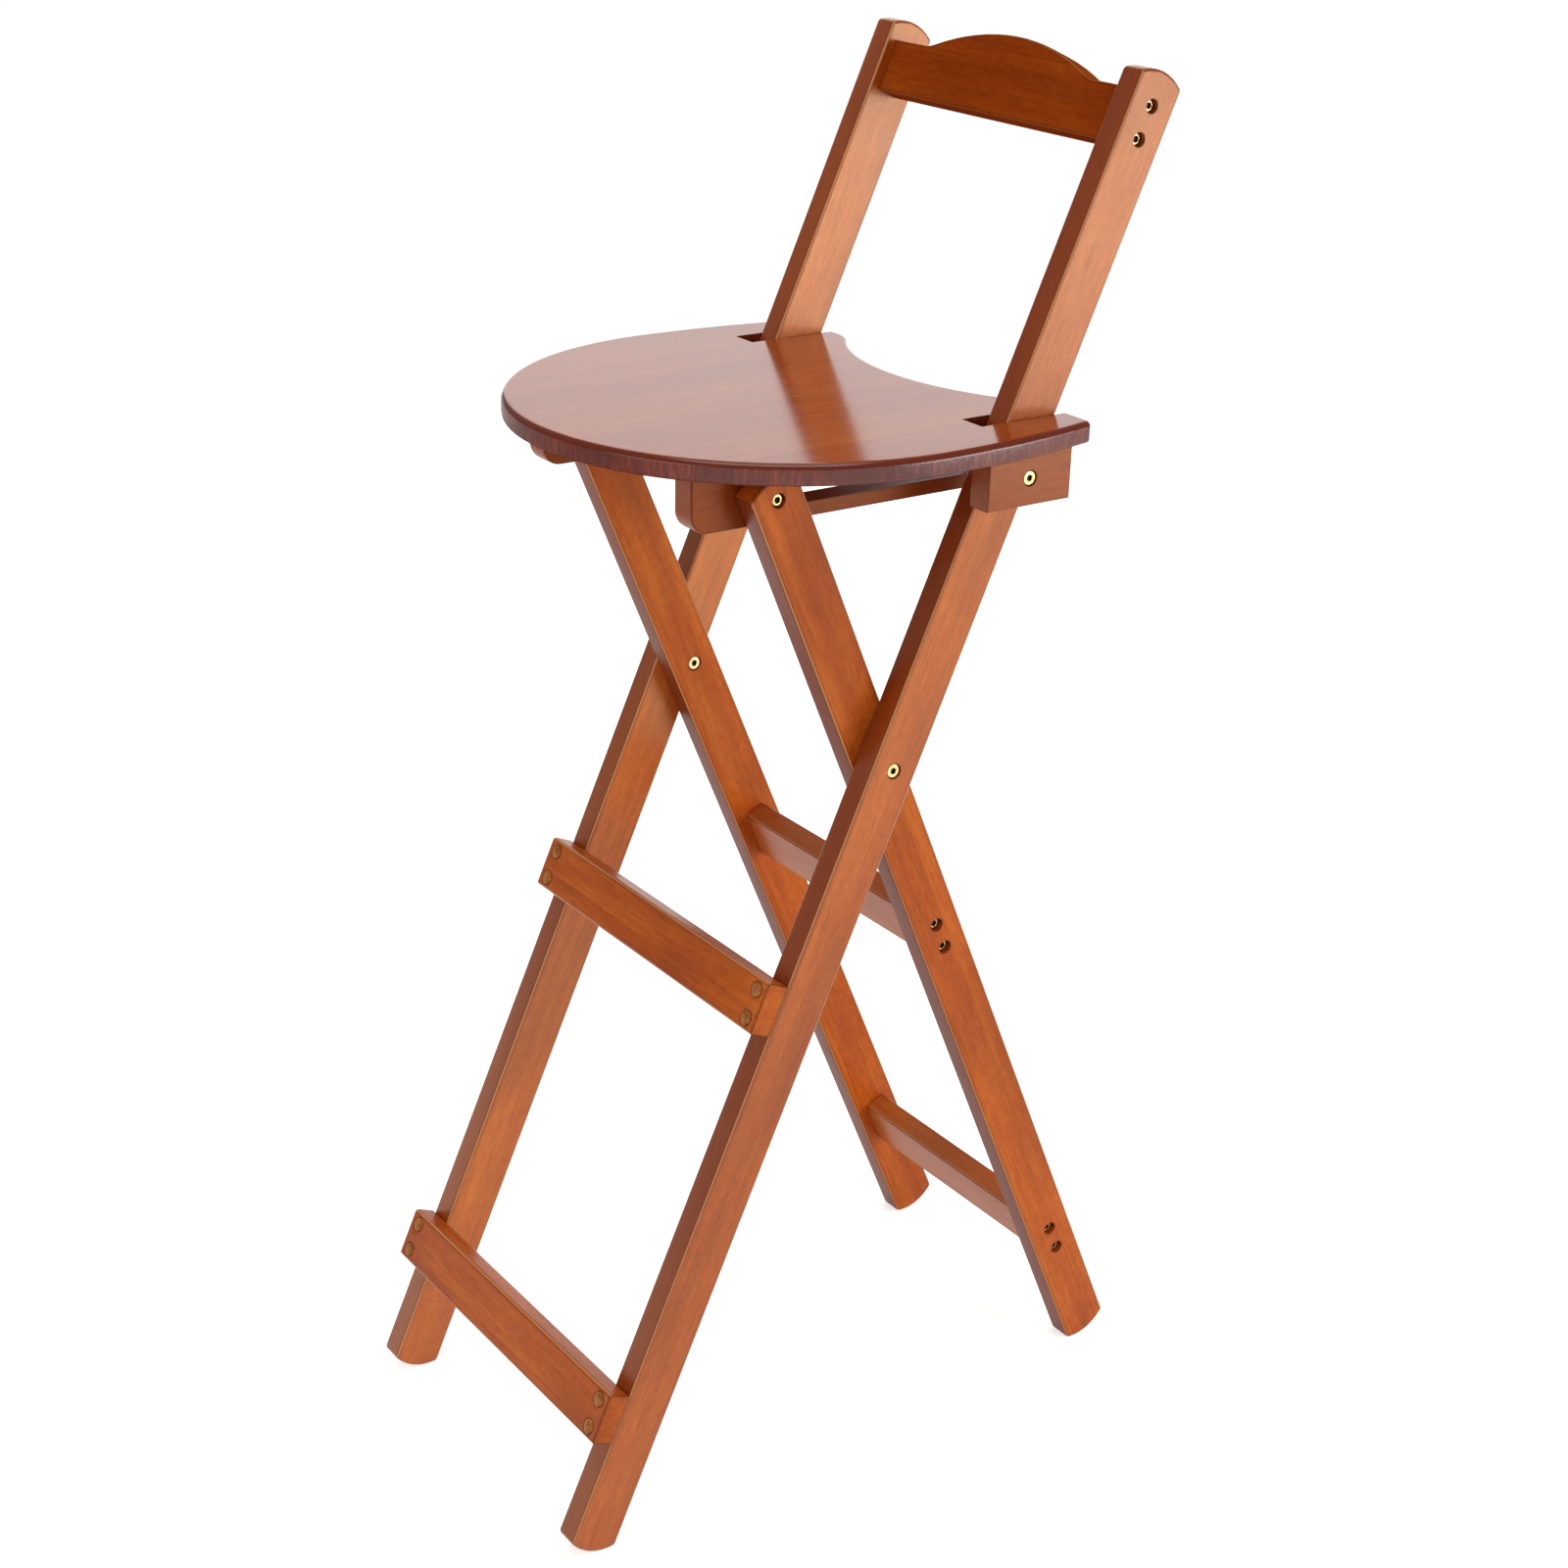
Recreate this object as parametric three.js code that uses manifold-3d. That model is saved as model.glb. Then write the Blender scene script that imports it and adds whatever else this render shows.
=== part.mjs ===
import * as THREE from 'three';
import { mergeVertices } from 'three/addons/utils/BufferGeometryUtils.js';
import Module from 'manifold-3d';

const wasm = await Module();
wasm.setup();

// Folding bar stool, open and standing on the floor.
// +X is the sitter's left, -Y the front with the footrests, +Z up.
// Origin: floor level, under the crossing pivots, in the middle of the width.
// Lengths in millimetres, angles in degrees.

// Crossing frames
const leanDegrees = 66.3;
const armReach = 208.5;
const footReach = 570;
const stileTopReach = 469.2;
const legHeadReach = 9.5;
const memberDepth = 37;
const memberThickness = 18.5;
const endRise = 5.5;
const endCorner = 3.5;
const memberArris = 1.6;
const frameHalfWidth = 138;

// Gaps between the layers of each side
const washerThickness = 1;
const facePlay = 0.1;
const seam = 0.2;
const runningFit = 0.08;
const slotPlay = 0.5;
const cutOverrun = 2;

// Rails
const railThickness = 17;
const footrestHeight = 37;
const footrestOverrun = 0.6;
const footrestArris = 2.4;
const footrestEndArris = 0.8;
const footrestLowerRise = 94.6;
const footrestSpacing = 300.6;
const stretcherHeight = 38.4;
const stretcherLowerRise = 99.7;
const stretcherSpacing = 313.2;
const railArris = 1.6;
const stretcherEndArris = 0.3;

// Crest rail
const crestBelowTop = 9.8;
const crestEndHeight = 36.6;
const crestArchRise = 17.8;
const crestArchHalfSpan = 83.5;
const crestArchEase = 6;
const crestThickness = 18.6;
const crestSetBack = 8.1;

// Seat board, measured from the seat pivot
const boardOverStile = 1;
const boardThickness = 13.5;
const boardSideOverhang = 20.3;
const boardWidestAhead = 82;
const boardFrontReach = 188.5;
const boardRearReach = 45.2;
const boardSideDraw = 15.2;
const boardRearCorner = 6;
const boardArris = 4;
const boardPlaned = 2.2;
const notchFrontPlay = 8.5;
const notchMouthCorner = 4.5;
const hollowDepth = 36;
const hollowRadius = 166;
const hollowEase = 7;

// Slotted cleats and pivot blocks under the board
const cleatThickness = 19;
const cleatHeight = 40.1;
const cleatAheadOfDowel = 51.5;
const cleatBehindPin = 22;
const cleatCorner = 13;
const blockThickness = 18.5;
const blockLength = 67.5;
const blockHeight = 37.3;
const underArris = 0.9;
const dowelRadius = 10.5;

// Pivot bolts with sleeve nuts
const boltRadius = 3;
const boltHeadRadius = 4.9;
const boltHeadHeight = 2.5;
const boltHeadSunk = 0.9;
const boltPocketPlay = 0.5;
const nutCapHeight = 2.8;
const nutCapSunk = 0.5;
const nutBarrelRadius = 4;
const nutBarrelLength = 7.7;
const nutBoreDepth = 6.5;
const boltEndPlay = 0.5;
const hexAcrossFlats = 4;
const hexDepth = 1.5;
const washerRadius = 8;

// Cap screws of the rails and of the dowel
const screwRadius = 2.5;
const screwHeadRadius = 4;
const screwHeadHeight = 3.5;
const screwHeadSunk = 3.4;
const screwPocketRadius = 5;
const screwBite = 26;
const crestScrewSpacing = 22;
const stretcherScrewSpacing = 20.8;
const dowelScrewSunk = 1.9;
const headBreak = 0.5;

// Domed wooden plugs of the footrests, in eased holes
const plugRadius = 5;
const plugDepth = 5;
const plugDome = 1.1;
const plugHoleEase = 0.9;
const plugSpacing = 20.3;

// Facets
const pivotSides = 18;
const screwSides = 12;
const plugSides = 16;
const plugDomeSteps = 2;
const dowelSides = 28;
const endSteps = 4;
const arrisSteps = 2;
const boardArrisSteps = 3;
const curveSteps = 3;
const archSteps = 8;
const boardCurveSteps = 12;

const half = (length) => length / 2;
const lean = THREE.MathUtils.degToRad(leanDegrees);
const stileTurn = lean;
const legTurn = Math.PI - lean;

// Layers of one side, from the outside in
const layerGap = washerThickness + facePlay * 2;
const stileOuter = frameHalfWidth;
const stileInner = stileOuter - memberThickness;
const legOuter = stileInner - layerGap;
const legInner = legOuter - memberThickness;
const cleatOuter = legInner - layerGap;
const cleatInner = cleatOuter - cleatThickness;
const blockInner = stileOuter + layerGap;
const blockOuter = blockInner + blockThickness;
const boardHalfWidth = blockOuter + boardSideOverhang;

// Rounded ends stand on the floor
const endRadius = (half(memberDepth) ** 2 + endRise ** 2) / (endRise * 2);
const footCentreReach = footReach + endRise - endRadius;
const pivotHeight = footCentreReach * Math.sin(lean) + endRadius;

// Seat pivot and dowel, in the side view around the crossing pivot
const pinAcross = armReach * Math.cos(lean);
const pinAbove = armReach * Math.sin(lean);
const boardOverPin = half(memberDepth) + boardOverStile;
const notchAhead = half(memberDepth) + notchFrontPlay;

// Places of the rails along the members
const crestBottomReach = stileTopReach - crestBelowTop - crestEndHeight;
const footrestLowerDrop = footReach - footrestLowerRise;
const footrestUpperDrop = footrestLowerDrop - footrestSpacing;
const stretcherLowerDrop = footReach - stretcherLowerRise;
const stretcherUpperDrop = stretcherLowerDrop - stretcherSpacing;

function toSolid(geometry) {
  const bare = geometry.clone();
  bare.deleteAttribute('normal');
  bare.deleteAttribute('uv');
  const merged = mergeVertices(bare);
  return new wasm.Manifold(new wasm.Mesh({
    numProp: 3,
    vertProperties: Float32Array.from(merged.attributes.position.array),
    triVerts: Uint32Array.from(merged.index.array),
  }));
}

function toGeometry(solid) {
  const mesh = solid.getMesh();
  const positions = new Float32Array(mesh.numVert * 3);
  for (let i = 0; i < mesh.numVert; i += 1) {
    for (let k = 0; k < 3; k += 1) {
      positions[i * 3 + k] = mesh.vertProperties[i * mesh.numProp + k];
    }
  }
  const geometry = new THREE.BufferGeometry();
  geometry.setAttribute('position', new THREE.BufferAttribute(positions, 3));
  geometry.setIndex(new THREE.BufferAttribute(Uint32Array.from(mesh.triVerts), 1));
  return geometry;
}

function cut(geometry, tools) {
  return toGeometry(tools.reduce((solid, tool) => solid.subtract(toSolid(tool)), toSolid(geometry)));
}

function mirrored(geometry) {
  const copy = geometry.clone().toNonIndexed();
  copy.scale(-1, 1, 1);
  const points = copy.attributes.position;
  const kept = new THREE.Vector3();
  const moved = new THREE.Vector3();
  for (let i = 0; i < points.count; i += 3) {
    kept.fromBufferAttribute(points, i + 1);
    moved.fromBufferAttribute(points, i + 2);
    points.setXYZ(i + 1, moved.x, moved.y, moved.z);
    points.setXYZ(i + 2, kept.x, kept.y, kept.z);
  }
  return copy;
}

// Side view pieces are drawn along the member (x), toward the front (y) and outward (z).
const sideBasis = new THREE.Matrix4().makeBasis(
  new THREE.Vector3(0, 1, 0),
  new THREE.Vector3(0, 0, 1),
  new THREE.Vector3(1, 0, 0),
);
const frontBasis = new THREE.Matrix4().makeBasis(
  new THREE.Vector3(0, 0, 1),
  new THREE.Vector3(1, 0, 0),
  new THREE.Vector3(0, 1, 0),
);

function stand(geometry, turn) {
  geometry.rotateZ(turn);
  geometry.applyMatrix4(sideBasis);
  geometry.translate(0, 0, pivotHeight);
  return geometry;
}

function standSeat(geometry) {
  geometry.applyMatrix4(sideBasis);
  geometry.translate(0, pinAcross, pivotHeight + pinAbove);
  return geometry;
}

function standTurned(geometry, reach, turn) {
  geometry.translate(reach, 0, 0);
  return stand(geometry, turn);
}

// A bar along the outward axis between two distances from the middle
function bar(radius, from, to, sides) {
  const geometry = new THREE.CylinderGeometry(radius, radius, Math.abs(to - from), sides);
  geometry.rotateX(Math.PI / 2);
  geometry.translate(0, 0, half(from + to));
  return geometry;
}

function barAt(radius, from, to, sides, reach) {
  return bar(radius, from, to, sides).translate(reach, 0, 0);
}

// A turned piece from the radii and heights of its section
function turned(section, sides) {
  const profile = section.map(([radius, height]) => new THREE.Vector2(radius, height));
  return new THREE.LatheGeometry(profile, sides).rotateX(Math.PI / 2);
}

function slabBetween(shape, from, to, arris, steps, curve) {
  const geometry = new THREE.ExtrudeGeometry(shape, {
    depth: to - from - arris * 2,
    bevelEnabled: true,
    bevelThickness: arris,
    bevelSize: arris,
    bevelOffset: -arris,
    bevelSegments: steps,
    curveSegments: curve,
  });
  return geometry.translate(0, 0, from + arris);
}

function roundedRectangle(left, right, bottom, top, corner) {
  const shape = new THREE.Shape();
  shape.moveTo(left + corner, bottom);
  shape.lineTo(right - corner, bottom);
  shape.absarc(right - corner, bottom + corner, corner, -Math.PI / 2, 0, false);
  shape.lineTo(right, top - corner);
  shape.absarc(right - corner, top - corner, corner, 0, Math.PI / 2, false);
  shape.lineTo(left + corner, top);
  shape.absarc(left + corner, top - corner, corner, Math.PI / 2, Math.PI, false);
  shape.lineTo(left, bottom + corner);
  shape.absarc(left + corner, bottom + corner, corner, Math.PI, Math.PI * 1.5, false);
  return shape;
}

// Long members with domed ends
function member(footEnd, headEnd, inner, outer) {
  const across = half(memberDepth);
  const side = across - endCorner;
  const swing = Math.asin(side / (endRadius - endCorner));
  const head = headEnd + endRise - endRadius;
  const foot = endRadius - endRise - footEnd;
  const headSide = head + Math.cos(swing) * (endRadius - endCorner);
  const footSide = foot - Math.cos(swing) * (endRadius - endCorner);
  const shape = new THREE.Shape();
  shape.moveTo(footSide, -across);
  shape.lineTo(headSide, -across);
  shape.absarc(headSide, -side, endCorner, -Math.PI / 2, -swing, false);
  shape.absarc(head, 0, endRadius, -swing, swing, false);
  shape.absarc(headSide, side, endCorner, swing, Math.PI / 2, false);
  shape.lineTo(footSide, across);
  shape.absarc(footSide, side, endCorner, Math.PI / 2, Math.PI - swing, false);
  shape.absarc(foot, 0, endRadius, Math.PI - swing, Math.PI + swing, false);
  shape.absarc(footSide, -side, endCorner, Math.PI + swing, Math.PI * 1.5, false);
  return slabBetween(shape, inner, outer, memberArris, arrisSteps, endSteps);
}

function pocketAndHole(reach, face, sunk, headHeight, pocketRadius, holeRadius, farFace, sides) {
  return [
    barAt(pocketRadius, face - sunk - headHeight - facePlay, face + cutOverrun, sides, reach),
    barAt(holeRadius + runningFit, farFace - cutOverrun, face, sides, reach),
  ];
}

function nutPocket(reach, face) {
  const capBottom = face + nutCapSunk + nutCapHeight;
  return [
    barAt(boltHeadRadius + boltPocketPlay, face - cutOverrun, capBottom + facePlay, pivotSides, reach),
    barAt(nutBarrelRadius + runningFit, face, capBottom + nutBarrelLength + seam, pivotSides, reach),
  ];
}

const boltPocket = boltHeadRadius + boltPocketPlay;
const crestScrewReaches = [-1, 1].map((end) => (
  crestBottomReach + half(crestEndHeight) + end * half(crestScrewSpacing)
));
const stretcherScrewReaches = [stretcherUpperDrop, stretcherLowerDrop].flatMap((drop) => (
  [1, -1].map((end) => end * half(stretcherScrewSpacing) - drop)
));

const stile = cut(member(footReach, stileTopReach, stileInner, stileOuter), [
  ...crestScrewReaches.flatMap((reach) => pocketAndHole(
    reach, stileOuter, screwHeadSunk, screwHeadHeight,
    screwPocketRadius, screwRadius, stileInner, screwSides,
  )),
  ...pocketAndHole(
    0, stileOuter, boltHeadSunk, boltHeadHeight, boltPocket, boltRadius, stileInner, pivotSides,
  ),
  barAt(boltRadius + runningFit, stileInner, stileOuter + cutOverrun, pivotSides, armReach),
  ...nutPocket(armReach, stileInner),
]);

const leg = cut(member(footReach, armReach + legHeadReach, legInner, legOuter), [
  ...stretcherScrewReaches.flatMap((reach) => pocketAndHole(
    reach, legOuter, screwHeadSunk, screwHeadHeight,
    screwPocketRadius, screwRadius, legInner, screwSides,
  )),
  ...pocketAndHole(
    armReach, legOuter, dowelScrewSunk, screwHeadHeight,
    screwPocketRadius, screwRadius, legInner, screwSides,
  ),
  barAt(boltRadius + runningFit, legInner, legOuter + cutOverrun, pivotSides, 0),
  ...nutPocket(0, legInner),
]);

// Rails that tie the two sides together
const railEnd = legInner - seam;
const stretcherBlank = slabBetween(
  roundedRectangle(
    -half(stretcherHeight), half(stretcherHeight), -half(railThickness), half(railThickness), railArris,
  ),
  -railEnd, railEnd, stretcherEndArris, 1, arrisSteps,
);

function stretcher(drop) {
  const pilots = [-1, 1].flatMap((side) => [-1, 1].map((end) => barAt(
    screwRadius + runningFit,
    side * (railEnd - screwBite - boltEndPlay),
    side * (railEnd + cutOverrun),
    screwSides,
    end * half(stretcherScrewSpacing),
  )));
  return standTurned(cut(stretcherBlank, pilots), -drop, legTurn);
}

const dowelPilots = [-1, 1].map((side) => bar(
  screwRadius + runningFit,
  side * (railEnd - screwBite - boltEndPlay),
  side * (railEnd + cutOverrun),
  screwSides,
));
const dowel = cut(bar(dowelRadius, -railEnd, railEnd, dowelSides), dowelPilots);

function plugPlaces() {
  const across = stileOuter - half(memberThickness);
  return [-1, 1].flatMap((side) => [-1, 1].map((end) => ({
    side,
    end,
    across: side * across,
    along: end * half(plugSpacing),
  })));
}

function plugHole(front) {
  const radius = plugRadius + runningFit;
  return turned([
    [0, front - plugDepth],
    [radius, front - plugDepth],
    [radius, front - plugHoleEase],
    [radius + plugHoleEase, front],
    [radius + plugHoleEase, front + cutOverrun],
    [0, front + cutOverrun],
  ], plugSides);
}

function footrest(drop) {
  const end = frameHalfWidth + footrestOverrun;
  const back = half(memberDepth) + seam;
  const front = back + railThickness;
  const blank = slabBetween(
    roundedRectangle(-half(footrestHeight), half(footrestHeight), back, front, footrestArris),
    -end, end, footrestEndArris, 1, arrisSteps,
  );
  const holes = plugPlaces().map((place) => (
    plugHole(front).translate(place.across, place.along, 0).applyMatrix4(frontBasis)
  ));
  return standTurned(cut(blank, holes), -drop, stileTurn);
}

// Drawn across (x), along the stile (y) and toward the front (z)
function plug(drop, place) {
  const front = half(memberDepth) + seam + railThickness;
  const bottom = front - plugDepth + facePlay;
  const domeRadius = (plugRadius ** 2 + plugDome ** 2) / (plugDome * 2);
  const swing = Math.asin(plugRadius / domeRadius);
  const dome = Array.from({ length: plugDomeSteps + 1 }, (_, i) => {
    const angle = swing * (1 - i / plugDomeSteps);
    const height = (Math.cos(angle) - 1) * domeRadius;
    return [Math.sin(angle) * domeRadius, front + plugDome + height];
  });
  const geometry = turned([[0, bottom], [plugRadius, bottom], ...dome], plugSides);
  geometry.translate(place.across, place.along, 0);
  return standTurned(geometry.applyMatrix4(frontBasis), -drop, stileTurn);
}

function crestRail() {
  const end = stileInner - seam;
  const overrun = end + railArris + cutOverrun;
  const bottom = crestBottomReach;
  const shoulder = bottom + crestEndHeight;
  const easeFoot = crestArchHalfSpan + crestArchEase;
  const archRadius = (crestArchHalfSpan ** 2 + crestArchRise ** 2) / (crestArchRise * 2);
  const archCentre = shoulder + crestArchRise - archRadius;
  const easeHead = crestArchHalfSpan - crestArchEase;
  const easeAngle = Math.acos(easeHead / archRadius);
  const easeHeight = archCentre + Math.sin(easeAngle) * archRadius;
  const shape = new THREE.Shape();
  shape.moveTo(-overrun, bottom);
  shape.lineTo(overrun, bottom);
  shape.lineTo(overrun, shoulder);
  shape.lineTo(easeFoot, shoulder);
  shape.quadraticCurveTo(crestArchHalfSpan, shoulder, easeHead, easeHeight);
  shape.absarc(0, archCentre, archRadius, easeAngle, Math.PI - easeAngle, false);
  shape.quadraticCurveTo(-crestArchHalfSpan, shoulder, -easeFoot, shoulder);
  shape.lineTo(-overrun, shoulder);
  const front = half(memberDepth) - crestSetBack;
  const blank = slabBetween(shape, front - crestThickness, front, railArris, arrisSteps, archSteps);
  const waste = overrun + cutOverrun - end;
  const ends = [-1, 1].map((side) => new THREE.BoxGeometry(
    waste, crestEndHeight + cutOverrun * 2, crestThickness + cutOverrun * 2,
  ).translate(side * (end + half(waste)), bottom + half(crestEndHeight), front - half(crestThickness)));
  const rail = cut(blank, ends).applyMatrix4(frontBasis);
  const pilots = [-1, 1].flatMap((side) => crestScrewReaches.map((reach) => barAt(
    screwRadius + runningFit,
    side * (end - screwBite - boltEndPlay),
    side * (end + cutOverrun),
    screwSides,
    reach,
  )));
  return stand(cut(rail, pilots), stileTurn);
}

// Seat board drawn from above: across (x) and toward the front (y), around the seat pivots
function boardOutline() {
  const widest = boardWidestAhead;
  const rear = -boardRearReach;
  const corner = boardRearCorner;
  const sideRun = widest - rear;
  const sideRadius = (sideRun ** 2 + boardSideDraw ** 2) / (boardSideDraw * 2);
  const sideCentre = boardHalfWidth - sideRadius;
  const sideSwing = Math.asin((sideRun - corner) / (sideRadius - corner));
  const cornerCentre = sideCentre + Math.cos(sideSwing) * (sideRadius - corner);
  const hollowCentre = rear + hollowDepth - hollowRadius;
  const hollowHalf = Math.sqrt(hollowRadius ** 2 - (hollowRadius - hollowDepth) ** 2);
  const hollowStart = hollowHalf - hollowEase;
  const hollowSwing = Math.acos(hollowStart / hollowRadius);
  const hollowY = hollowCentre + Math.sin(hollowSwing) * hollowRadius;
  const shape = new THREE.Shape();
  shape.moveTo(-boardHalfWidth, widest);
  shape.absarc(-sideCentre, widest, sideRadius, Math.PI, Math.PI + sideSwing, false);
  shape.absarc(-cornerCentre, rear + corner, corner, Math.PI + sideSwing, Math.PI * 1.5, false);
  shape.lineTo(-hollowHalf - hollowEase, rear);
  shape.quadraticCurveTo(-hollowHalf, rear, -hollowStart, hollowY);
  shape.absarc(0, hollowCentre, hollowRadius, Math.PI - hollowSwing, hollowSwing, true);
  shape.quadraticCurveTo(hollowHalf, rear, hollowHalf + hollowEase, rear);
  shape.lineTo(cornerCentre, rear);
  shape.absarc(cornerCentre, rear + corner, corner, -Math.PI / 2, -sideSwing, false);
  shape.absarc(sideCentre, widest, sideRadius, -sideSwing, 0, false);
  shape.absellipse(0, widest, boardHalfWidth, boardFrontReach, 0, Math.PI, false);
  return shape;
}

// A notch open to the rear, with rounded mouth corners
function notchOutline(side) {
  const rear = -boardRearReach;
  const mouth = notchMouthCorner;
  const outer = stileOuter + layerGap;
  const inner = stileInner - layerGap;
  const shape = new THREE.Shape();
  shape.moveTo(inner, notchAhead);
  shape.lineTo(inner, rear + mouth);
  shape.absarc(inner - mouth, rear + mouth, mouth, 0, -Math.PI / 2, true);
  shape.lineTo(inner - mouth, rear - mouth);
  shape.lineTo(outer + mouth, rear - mouth);
  shape.lineTo(outer + mouth, rear);
  shape.absarc(outer + mouth, rear + mouth, mouth, -Math.PI / 2, -Math.PI, true);
  shape.lineTo(outer, notchAhead);
  return new THREE.Shape(shape.getPoints(curveSteps).map((point) => (
    new THREE.Vector2(point.x * side, point.y)
  )));
}

function board() {
  const top = boardOverPin + boardThickness;
  const blank = slabBetween(
    boardOutline(), boardOverPin - boardPlaned, top, boardArris, boardArrisSteps, boardCurveSteps,
  );
  const spread = (boardWidestAhead + boardFrontReach) * 2;
  const under = new THREE.BoxGeometry(spread, spread, boardThickness * 2)
    .translate(0, 0, boardOverPin - boardThickness);
  const notches = [-1, 1].map((side) => new THREE.ExtrudeGeometry(notchOutline(side), {
    depth: boardThickness * 3, bevelEnabled: false,
  }).translate(0, 0, boardOverPin - boardThickness));
  const geometry = cut(blank, [under, ...notches]);
  geometry.rotateZ(Math.PI);
  return geometry.translate(0, pinAcross, pivotHeight + pinAbove);
}

// Side view of the cleat: toward the rear (x) and up (y), around the seat pivot
function cleatOutline() {
  const front = -pinAcross * 2 - cleatAheadOfDowel;
  const rear = cleatBehindPin;
  const top = boardOverPin - seam;
  const bottom = top - cleatHeight;
  const shape = new THREE.Shape();
  shape.moveTo(front, top);
  shape.lineTo(front, bottom + cleatCorner);
  shape.absarc(front + cleatCorner, bottom + cleatCorner, cleatCorner, Math.PI, Math.PI * 1.5, false);
  shape.lineTo(rear - cleatCorner, bottom);
  shape.absarc(rear - cleatCorner, bottom + cleatCorner, cleatCorner, -Math.PI / 2, 0, false);
  shape.lineTo(rear, top);
  return shape;
}

function slotOutline() {
  const radius = dowelRadius + slotPlay;
  const shape = new THREE.Shape();
  shape.absarc(0, 0, radius, -Math.PI / 2, Math.PI / 2, false);
  shape.absarc(-pinAcross * 2, 0, radius, Math.PI / 2, Math.PI * 1.5, false);
  return shape;
}

function cleat() {
  const blank = slabBetween(cleatOutline(), cleatInner, cleatOuter, underArris, arrisSteps, curveSteps);
  const slot = new THREE.ExtrudeGeometry(slotOutline(), {
    depth: cleatThickness * 2, bevelEnabled: false, curveSegments: endSteps + curveSteps,
  }).translate(0, 0, cleatInner - half(cleatThickness));
  return standSeat(cut(blank, [slot]));
}

function block() {
  const shape = new THREE.Shape();
  const top = boardOverPin - seam;
  shape.moveTo(-half(blockLength), top - blockHeight);
  shape.lineTo(half(blockLength), top - blockHeight);
  shape.lineTo(half(blockLength), top);
  shape.lineTo(-half(blockLength), top);
  const blank = slabBetween(shape, blockInner, blockOuter, underArris, arrisSteps, 1);
  return standSeat(cut(blank, pocketAndHole(
    0, blockOuter, boltHeadSunk, boltHeadHeight, boltPocket, boltRadius, blockInner, pivotSides,
  )));
}

// Fasteners lie along the outward axis, heads outside
function hexSocket(face, outward) {
  const corner = half(hexAcrossFlats) / Math.cos(Math.PI / 6);
  return bar(corner, face - outward * hexDepth, face + outward * cutOverrun, 6);
}

function headed(radius, headRadius, headHeight, face, tip, sides) {
  const under = face - headHeight;
  return turned([
    [0, tip],
    [radius, tip],
    [radius, under],
    [headRadius, under],
    [headRadius, face - headBreak],
    [headRadius - headBreak, face],
    [0, face],
  ], sides);
}

function bolt(face, tip) {
  const blank = headed(boltRadius, boltHeadRadius, boltHeadHeight, face, tip, pivotSides);
  return cut(blank, [hexSocket(face, 1)]);
}

function sleeveNut(face) {
  const capFace = face + nutCapSunk;
  const capUnder = capFace + nutCapHeight;
  const rim = capUnder + nutBarrelLength;
  const blank = turned([
    [0, capFace],
    [boltHeadRadius - headBreak, capFace],
    [boltHeadRadius, capFace + headBreak],
    [boltHeadRadius, capUnder],
    [nutBarrelRadius, capUnder],
    [nutBarrelRadius, rim],
    [boltRadius + runningFit, rim],
    [boltRadius + runningFit, rim - nutBoreDepth],
    [0, rim - nutBoreDepth],
  ], pivotSides);
  return cut(blank, [hexSocket(capFace, -1)]);
}

function boltTip(nutFace) {
  return nutFace + nutCapSunk + nutCapHeight + nutBarrelLength - nutBoreDepth + boltEndPlay;
}

function screw(face, tip) {
  const blank = headed(screwRadius, screwHeadRadius, screwHeadHeight, face, tip, screwSides);
  return cut(blank, [hexSocket(face, 1)]);
}

function washer(outerFace) {
  const bore = boltRadius + runningFit * 2;
  const low = outerFace + facePlay;
  return turned([
    [bore, low],
    [washerRadius, low],
    [washerRadius, low + washerThickness],
    [bore, low + washerThickness],
    [bore, low],
  ], pivotSides);
}

const group = new THREE.Group();
const woodColour = 0xa85a2a;
const darkWoodColour = 0x7a3a1e;
const plugColour = 0x9a6330;
const brassColour = 0xc9a860;
const washerColour = 0xd8d2c4;

function add(name, geometry, colour, metalness) {
  const bare = geometry.clone();
  bare.deleteAttribute('normal');
  bare.deleteAttribute('uv');
  const merged = mergeVertices(bare);
  merged.computeVertexNormals();
  const material = new THREE.MeshStandardMaterial({ color: colour, roughness: 0.45, metalness });
  const mesh = new THREE.Mesh(merged, material);
  mesh.name = name;
  group.add(mesh);
}

function addPair(name, geometry, colour, metalness) {
  add(`${name}_left`, geometry, colour, metalness);
  add(`${name}_right`, mirrored(geometry), colour, metalness);
}

addPair('stile', stand(stile, stileTurn), woodColour, 0);
add('crest_rail', crestRail(), woodColour, 0);
const footrests = { upper: footrestUpperDrop, lower: footrestLowerDrop };
for (const [level, drop] of Object.entries(footrests)) {
  add(`footrest_${level}`, footrest(drop), woodColour, 0);
  for (const place of plugPlaces()) {
    const side = place.side > 0 ? 'left' : 'right';
    const row = place.end > 0 ? 'top' : 'bottom';
    add(`plug_${level}_${row}_${side}`, plug(drop, place), plugColour, 0);
  }
}

addPair('leg', stand(leg, legTurn), woodColour, 0);
add('stretcher_upper', stretcher(stretcherUpperDrop), woodColour, 0);
add('stretcher_lower', stretcher(stretcherLowerDrop), woodColour, 0);
add('slot_dowel', standTurned(dowel, armReach, legTurn), woodColour, 0);

add('seat_board', board(), darkWoodColour, 0);
addPair('slotted_cleat', cleat(), darkWoodColour, 0);
addPair('pivot_block', block(), darkWoodColour, 0);

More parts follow.
